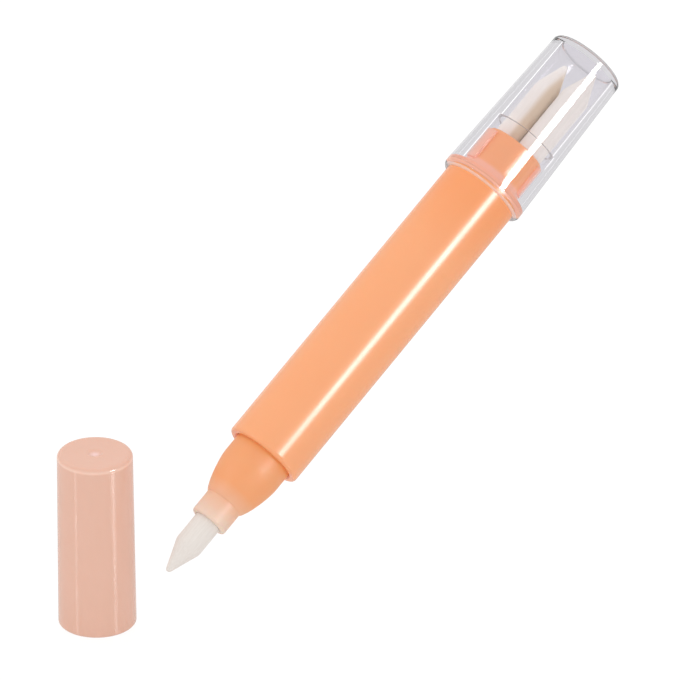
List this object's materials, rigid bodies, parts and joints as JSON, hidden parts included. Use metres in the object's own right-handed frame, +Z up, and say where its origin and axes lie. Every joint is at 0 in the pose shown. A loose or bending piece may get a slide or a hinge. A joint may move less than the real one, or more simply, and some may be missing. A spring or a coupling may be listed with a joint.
{
  "type": "makeup remover pen",
  "caption": "Makeup remover pen: felt nib in a rounded nose, barrel with a fibre reservoir, spare nibs under a clear pull-off end cap, and its front cap standing beside it.",
  "frame": {"origin": "on the pen's axis, 20 mm behind the barrel's front rim, where a hand holds the barrel", "axes": "+Z up; the pen's axis lies in the XZ plane, 34.5 degrees above +X towards the clear end; +X is also the longest side of the box and +Y, towards the front cap, the shortest"},
  "size_m": [0.1165, 0.0328, 0.0925],
  "materials": {
    "barrel": "gloss orange moulded polypropylene",
    "nose": "translucent orange moulded polypropylene, gloss",
    "tail": "orange moulded polypropylene, gloss",
    "felt": "white bonded polyester felt",
    "fibre": "white bonded fibre rod",
    "film": "thin natural plastic film",
    "clear": "clear moulded polystyrene, polished",
    "peach": "peach moulded polypropylene, satin",
    "seal": "natural moulded polyethylene"
  },
  "bodies": {
    "pen": {"barrel": "barrel", "front_section": "nose", "reservoir_core": "fibre", "reservoir_film": "film", "tail_plug": "tail", "spare_nib_1": "felt", "spare_nib_2": "felt"},
    "nib": {"nib": "felt"},
    "clear_cap": {"clear_cap": "clear"},
    "front_cap": {"front_cap": "peach", "cap_inner_seal": "seal"}
  },
  "joints": [
    {"name": "nib_pull", "type": "slide", "parent": "pen", "child": "nib", "axis": [-0.8241, 0, -0.5664], "range_m": [0, 0.02]},
    {"name": "clear_cap_pull", "type": "slide", "parent": "pen", "child": "clear_cap", "axis": [0.8241, 0, 0.5664], "range_m": [0, 0.04]},
    {"name": "front_cap_lift", "type": "slide", "parent": "pen", "child": "front_cap", "axis": [0, 0, 1], "range_m": [0, 0.05]}
  ]
}
